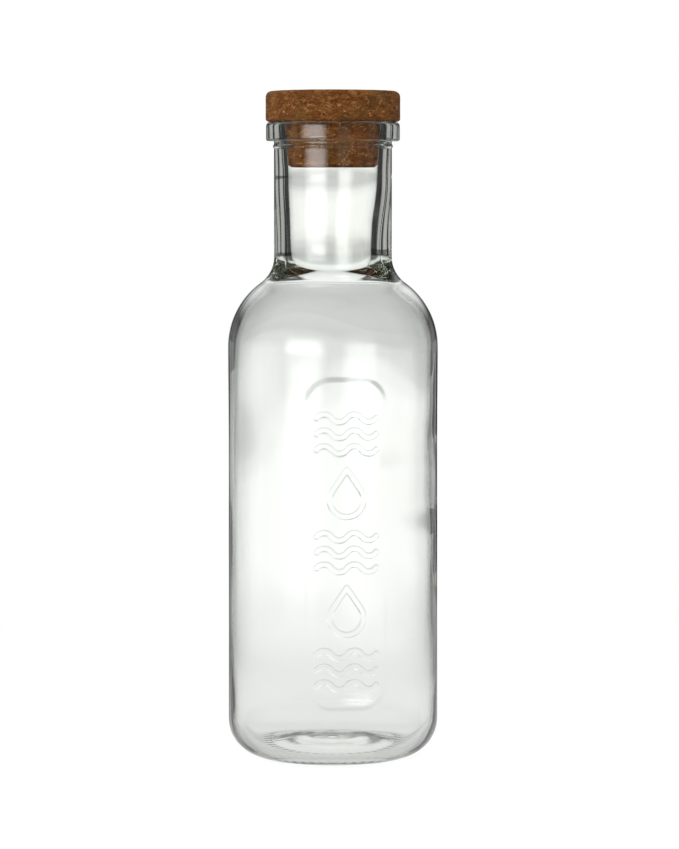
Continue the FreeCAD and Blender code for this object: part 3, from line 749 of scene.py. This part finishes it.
def cork_material():
    """Pressed cork granules: flattish cells of slightly different browns, with thin pale slivers, dark
    pores and fine grain."""
    made, n = new_material("granulated_cork")
    place = n.add("ShaderNodeTexCoord").outputs["Object"]
    warp = n.add("ShaderNodeTexNoise", None, Vector=place, Scale=380.0, Detail=2.0)
    bent = n.add(
        "ShaderNodeVectorMath",
        {"operation": "MULTIPLY_ADD"},
        i0=warp.outputs["Color"],
        i1=(0.0020, 0.0020, 0.0012),
        i2=place,
    ).outputs[0]
    flat = n.add("ShaderNodeMapping", None, Vector=bent, Scale=(1.0, 1.0, 1.9)).outputs[0]
    leaning = n.add("ShaderNodeMapping", None, Vector=flat, Rotation=(0.35, 0.3, 0.8)).outputs[0]
    cells = n.add("ShaderNodeTexVoronoi", None, Vector=flat, Scale=300.0)
    edges = n.add("ShaderNodeTexVoronoi", {"feature": "DISTANCE_TO_EDGE"}, Vector=flat, Scale=300.0)
    crumbs = n.add("ShaderNodeTexVoronoi", None, Vector=leaning, Scale=950.0)
    pores = n.add("ShaderNodeTexVoronoi", None, Vector=leaning, Scale=700.0)
    patch = n.add("ShaderNodeTexNoise", None, Vector=place, Scale=75.0, Detail=3.0)
    fine = n.add("ShaderNodeTexNoise", None, Vector=flat, Scale=2600.0, Detail=3.0, Roughness=0.7)
    streaks = n.add("ShaderNodeTexNoise", None, Vector=flat, Scale=340.0, Detail=1.5, Roughness=0.6)
    where = n.add("ShaderNodeTexNoise", None, Vector=leaning, Scale=260.0, Detail=1.0)

    cell_tone = n.add("ShaderNodeSeparateColor", None, Color=cells.outputs["Color"]).outputs[0]
    crumb_tone = n.add("ShaderNodeSeparateColor", None, Color=crumbs.outputs["Color"]).outputs[1]
    tone = n.math("ADD", n.math("MULTIPLY", cell_tone, 0.34), n.math("MULTIPLY", crumb_tone, 0.30))
    tone = n.math("ADD", tone, n.math("MULTIPLY", fine.outputs[0], 0.36))
    colour = n.ramp(
        tone,
        [
            (0.0, (0.052, 0.015, 0.003, 1)),
            (0.28, (0.108, 0.036, 0.007, 1)),
            (0.50, (0.165, 0.058, 0.012, 1)),
            (0.72, (0.225, 0.088, 0.022, 1)),
            (1.0, (0.330, 0.165, 0.060, 1)),
        ],
    )
    olive = n.ramp(patch.outputs[0], [(0.50, (0, 0, 0, 1)), (0.62, (1, 1, 1, 1))])
    colour = n.mix(n.math("MULTIPLY", olive, 0.50), colour, (0.105, 0.056, 0.013, 1.0))
    line = [(0.472, (0, 0, 0, 1)), (0.488, (1, 1, 1, 1)), (0.512, (1, 1, 1, 1)), (0.528, (0, 0, 0, 1))]
    sliver = n.ramp(streaks.outputs[0], line)
    some = n.ramp(where.outputs[0], [(0.50, (0, 0, 0, 1)), (0.60, (1, 1, 1, 1))])
    sliver = n.math("MULTIPLY", sliver, some)
    colour = n.mix(n.math("MULTIPLY", sliver, 0.80), colour, (0.470, 0.235, 0.095, 1.0))
    rim = n.ramp(edges.outputs["Distance"], [(0.0, (0.22, 0.19, 0.18, 1)), (0.06, (1, 1, 1, 1))])
    colour = n.mix(0.65, colour, rim, "MULTIPLY")
    hole = n.ramp(pores.outputs["Distance"], [(0.10, (0.30, 0.26, 0.24, 1)), (0.22, (1, 1, 1, 1))])
    colour = n.mix(0.8, colour, hole, "MULTIPLY")
    height = n.math("ADD", n.math("MULTIPLY", crumb_tone, 0.3), n.math("MULTIPLY", fine.outputs[0], 0.6))
    near_edge = n.math("MINIMUM", edges.outputs["Distance"], 0.06)
    height = n.math("ADD", height, n.math("MULTIPLY", near_edge, 6.0))
    height = n.math("ADD", height, n.math("MULTIPLY", sliver, 0.4))
    bump = n.add("ShaderNodeBump", None, Strength=0.7, Distance=0.00022, Height=height).outputs[0]
    shader = n.add(
        "ShaderNodeBsdfPrincipled",
        None,
        Base_Color=colour,
        Roughness=0.85,
        Specular_IOR_Level=0.12,
        Normal=bump,
    )
    out = n.add("ShaderNodeOutputMaterial")
    n.tree.links.new(shader.outputs[0], out.inputs["Surface"])
    return made


bottle.data.materials.append(glass_material())
cork = cork_material()
cork_head.data.materials.append(cork)
cork_plug.data.materials.append(cork)

for piece, node, body, slot in (
    (bottle, "glass_bottle", "bottle", "clear_glass"),
    (cork_head, "stopper_head", "stopper", "cork"),
    (cork_plug, "stopper_plug", "stopper", "cork"),
):
    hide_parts(node)
    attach(piece, body)


# ---------------------------------------------------------------- stage, light and camera


# two soft boxes, mirrored only: azimuth and half width in degrees, foot, top and softness in height
KEY_BOX = (-41.0, 26.0, -0.30, 0.20, 0.18)
KEY_LEVEL = 5.4
STREAK_BOX = (12.0, 14.0, -0.30, 0.20, 0.18)
STREAK_LEVEL = 0.2
# the mirrored panels above the horizon, against those below it
HIGH_PANELS = 0.35
# the near floor's share of the key, its light on dull surfaces, and its glow beside its dull part
FLOOR_KEY = 0.2
FLOOR_LIGHT = 0.55
NEAR_GLOW = 0.86
# how much stronger the light on a dull surface is behind glass
LIGHT_BEHIND_GLASS = 3.0
# brightness of the floor by distance in metres, seen through the glass and mirrored in it; the dip round 29
# to 38 mm is a painted contact shadow, a darker ring round the bottle's foot
FLOOR_THROUGH = [
    (0.0, 0.92),
    (0.024, 0.90),
    # painted contact shadow: a darker ring round the bottle's foot, seen through the glass
    (0.029, 0.72),
    (0.038, 0.76),
    (0.055, 0.90),
    (0.20, 0.90),
    (0.45, 1.05),
    (0.80, 1.20),
    (1.8, 1.20),
    (3.0, 1.10),
    (5.0, 0.90),
    (8.0, 0.76),
]
FLOOR_MIRRORED = [
    (0.0, 0.85),
    (0.024, 0.80),
    # painted contact shadow: a darker ring round the bottle's foot, mirrored in the glass
    (0.029, 0.62),
    (0.038, 0.62),
    (0.06, 0.72),
    (0.15, 0.55),
    (0.40, 0.20),
    (1.0, 0.14),
]
# brightness of the room seen through the glass, by height of the direction
ROOM_THROUGH = [
    (-0.30, 0.9),
    (0.0, 0.72),
    (0.06, 0.66),
    (0.14, 0.74),
    (0.22, 1.15),
    (0.40, 1.15),
    (0.47, 0.08),
    (1.0, 0.06),
]
# brightness of the mirrored room: round a white panel by the angle from it, and by height
PANELS = [
    (0.0, 0.60),
    (8.0, 0.50),
    (13.0, 0.03),
    (19.0, 0.03),
    (25.0, 0.50),
    (37.0, 0.42),
    (44.0, 0.03),
    (60.0, 0.03),
]
BACK_HEIGHT = [(-1.0, 0.5), (0.0, 0.03), (0.12, 0.05), (0.35, 0.95), (0.75, 0.85), (1.0, 0.2)]


def eased_range(n, value, low, high, start=0.0, end=1.0):
    """start at low, end at high, and a smooth change between."""
    settings = {"interpolation_type": "SMOOTHSTEP"}
    made = n.add("ShaderNodeMapRange", settings, Value=value, i1=low, i2=high, i3=start, i4=end)
    return made.outputs[0]


def between_values(n, factor, a, b):
    return n.add("ShaderNodeMix", {"data_type": "FLOAT"}, i0=factor, i2=a, i3=b).outputs[0]


def curve(n, value, low, high, stops):
    """A smooth curve of value through (value, result) stops, results from 0 to 2."""
    share = n.add("ShaderNodeMapRange", None, Value=value, i1=low, i2=high, i3=0.0, i4=1.0).outputs[0]
    points = [((at - low) / (high - low), (result / 2, result / 2, result / 2, 1)) for at, result in stops]
    made = n.ramp(share, points, "EASE")
    return n.math("MULTIPLY", made, 2.0)


def path_kinds(n):
    """1 or 0 each: the ray has been mirrored, lights a dull surface, or has passed through glass."""
    path = n.add("ShaderNodeLightPath")
    mirrored = n.math("GREATER_THAN", path.outputs["Glossy Depth"], 0.5)
    lighting = n.math("GREATER_THAN", path.outputs["Diffuse Depth"], 0.5)
    through = n.math("GREATER_THAN", path.outputs["Transmission Depth"], 0.5)
    return mirrored, lighting, through


def floor_plane():
    """A white floor. It glows, so that it stays plain and pale, and takes only a faint shadow. Seen
    through the glass or mirrored in it, its brightness goes by the distance from the bottle, with a painted
    contact shadow: a darker ring round the bottle's foot."""
    mesh = bpy.data.meshes.new("studio_floor")
    size = 40.0
    corners = [(-size, -size, 0), (size, -size, 0), (size, size, 0), (-size, size, 0)]
    mesh.from_pydata(corners, [], [(0, 1, 2, 3)])
    made = bpy.data.objects.new("studio_floor", mesh)
    bpy.context.scene.collection.objects.link(made)
    made.location.z = -0.0002
    material, n = new_material("studio_floor")
    place = n.add("ShaderNodeTexCoord").outputs["Object"]
    away = n.add("ShaderNodeVectorMath", {"operation": "LENGTH"}, i0=place).outputs["Value"]
    mirrored, lighting, through = path_kinds(n)
    # glow seen through the glass, with its painted contact shadow ring round the foot
    seen_through = curve(n, away, 0.0, 8.0, FLOOR_THROUGH)
    level = between_values(n, through, 1.0, seen_through)
    outward = n.add("ShaderNodeVectorMath", {"operation": "NORMALIZE"}, i0=place).outputs[0]
    far_away = eased_range(n, away, 0.25, 0.9)
    far_key = eased_range(n, away, 1.5, 8.0, FLOOR_KEY * KEY_LEVEL, KEY_LEVEL)
    far_room = mirrored_room(n, outward, far_key, 1.0)
    # glow mirrored in the glass, with its painted contact shadow ring round the foot
    dim = between_values(n, far_away, curve(n, away, 0.0, 1.0, FLOOR_MIRRORED), far_room)
    level = between_values(n, mirrored, level, dim)
    level = between_values(n, lighting, level, FLOOR_LIGHT)
    far = eased_range(n, away, 0.05, 0.45)
    dull = n.add("ShaderNodeBsdfDiffuse", None, Color=(0.15, 0.149, 0.15, 1.0))
    tint = n.mix(through, (1, 1, 1, 1), (0.975, 1.0, 0.970, 1))
    glow = n.add("ShaderNodeEmission", None, Color=tint, Strength=level)
    half = n.add("ShaderNodeEmission", None, Color=tint, Strength=n.math("MULTIPLY", level, NEAR_GLOW))
    near = n.add("ShaderNodeAddShader", None, i0=dull.outputs[0], i1=half.outputs[0])
    plain = n.math("MAXIMUM", far, through)
    both = n.add("ShaderNodeMixShader", None, i0=plain, i1=near.outputs[0], i2=glow.outputs[0])
    out = n.add("ShaderNodeOutputMaterial")
    n.tree.links.new(both.outputs[0], out.inputs["Surface"])
    mesh.materials.append(material)
    return made


def soft_box(n, direction, azimuth, half_width, low, high, soft):
    """1 inside a soft-edged upright window of the room and 0 outside. Azimuth 0 is the front."""
    turn = math.radians(azimuth)
    parts = n.add("ShaderNodeSeparateXYZ", None, Vector=direction)
    flat = n.add("ShaderNodeCombineXYZ", None, X=parts.outputs[0], Y=parts.outputs[1])
    flat = n.add("ShaderNodeVectorMath", {"operation": "NORMALIZE"}, i0=flat.outputs[0]).outputs[0]
    middle = (math.sin(turn), -math.cos(turn), 0.0)
    dot = {"operation": "DOT_PRODUCT"}
    facing = n.add("ShaderNodeVectorMath", dot, i0=flat, i1=middle).outputs["Value"]
    edge = math.cos(math.radians(half_width))
    inner = math.cos(math.radians(half_width * 0.15))
    across = eased_range(n, facing, edge, inner)
    above = eased_range(n, parts.outputs[2], low - soft, low + soft)
    under = eased_range(n, parts.outputs[2], high - soft, high + soft, 1.0, 0.0)
    return n.math("MULTIPLY", n.math("MULTIPLY", across, above), under)


def by_azimuth(n, direction):
    """Two numbers for a direction: degrees from the nearest of three white panels, and 1 at the back
    falling to 0 at the front."""
    parts = n.add("ShaderNodeSeparateXYZ", None, Vector=direction)
    azimuth = n.math("ARCTAN2", parts.outputs[0], n.math("MULTIPLY", parts.outputs[1], -1.0))
    turned = n.math("ADD", n.math("MULTIPLY", azimuth, 180 / math.pi), CAMERA_TURN)
    folded = n.math("WRAP", turned, 60.0, -60.0)
    behind = n.math("ABSOLUTE", n.math("WRAP", turned, 180.0, -180.0))
    off_panel = n.math("SUBTRACT", 60.0, n.math("ABSOLUTE", folded))
    return off_panel, eased_range(n, behind, 70.0, 125.0)


def mirrored_room(n, direction, key_level, panel_level):
    """What is mirrored: white panels with dark gaps, a bright sweep high at the back, and two soft
    boxes in front, over a dark room."""
    height = n.add("ShaderNodeSeparateXYZ", None, Vector=direction).outputs[2]
    off_panel, back = by_azimuth(n, direction)
    key = soft_box(n, direction, *KEY_BOX)
    streak = soft_box(n, direction, *STREAK_BOX)
    panels = n.math("MULTIPLY", curve(n, off_panel, 0.0, 60.0, PANELS), between_values(n, back, 0.25, 1.0))
    upright = eased_range(n, n.math("ABSOLUTE", height), 0.30, 0.04)
    room = n.math("MULTIPLY", n.math("MULTIPLY", panels, upright), panel_level)
    centre = between_values(n, eased_range(n, off_panel, 18.0, 42.0), 1.0, 0.10)
    sweep = n.math("MULTIPLY", curve(n, height, -1.0, 1.0, BACK_HEIGHT), between_values(n, back, 0.15, 1.0))
    sweep = n.math("MULTIPLY", sweep, centre)
    room = n.math("MAXIMUM", room, sweep)
    room = n.math("ADD", room, n.math("MULTIPLY", key, key_level))
    return n.math("ADD", room, n.math("MULTIPLY", streak, STREAK_LEVEL))


def studio_world():
    """A white studio. Seen straight it is white. Through the glass its brightness goes by height, and
    what is mirrored is a dimmer room with white panels and soft boxes."""
    world = bpy.data.worlds.new("studio")
    bpy.context.scene.world = world
    world.use_nodes = True
    world.node_tree.nodes.clear()
    n = Nodes(world.node_tree)
    direction = n.add("ShaderNodeTexCoord").outputs["Generated"]
    height = n.add("ShaderNodeSeparateXYZ", None, Vector=direction).outputs[2]
    mirrored, lighting, through = path_kinds(n)
    side = n.add(
        "ShaderNodeVectorMath", {"operation": "DOT_PRODUCT"}, i0=direction, i1=(-0.85, -0.35, 0.4)
    ).outputs["Value"]
    lamp = n.add("ShaderNodeMapRange", None, Value=side, i1=-1.0, i2=1.0, i3=0.42, i4=1.58).outputs[0]

    level = between_values(n, through, 1.0, curve(n, height, -1.0, 1.0, ROOM_THROUGH))
    level = between_values(n, mirrored, level, mirrored_room(n, direction, KEY_LEVEL, HIGH_PANELS))
    boost = between_values(n, through, 1.0, LIGHT_BEHIND_GLASS)
    level = between_values(n, lighting, level, n.math("MULTIPLY", lamp, boost))
    seen = n.math("MULTIPLY", through, n.math("SUBTRACT", 1.0, lighting))
    tint = n.mix(seen, (1, 1, 1, 1), (0.965, 1.0, 0.985, 1))
    back = n.add("ShaderNodeBackground", None, Color=tint, Strength=level)
    out = n.add("ShaderNodeOutputWorld")
    n.tree.links.new(back.outputs[0], out.inputs["Surface"])
    world.cycles.sampling_method = "NONE"


def studio_camera():
    data = bpy.data.cameras.new("camera")
    data.lens = 143.9
    data.sensor_width = 36.0
    made = bpy.data.objects.new("camera", data)
    bpy.context.scene.collection.objects.link(made)
    distance, height, aside, aim_height = 1.427, 0.238, 0.00275, 0.1401
    turn = math.radians(-CAMERA_TURN)
    made.location = (distance * math.sin(turn), -distance * math.cos(turn), height)
    aim = Vector((aside * math.cos(turn), aside * math.sin(turn), aim_height))
    made.rotation_mode = "QUATERNION"
    made.rotation_quaternion = (aim - made.location).to_track_quat("-Z", "Y")
    bpy.context.scene.camera = made


floor_plane()
studio_world()
studio_camera()
scene = bpy.context.scene
scene.view_settings.view_transform = "Standard"
scene.cycles.max_bounces = 24
scene.cycles.transmission_bounces = 24
scene.cycles.glossy_bounces = 12
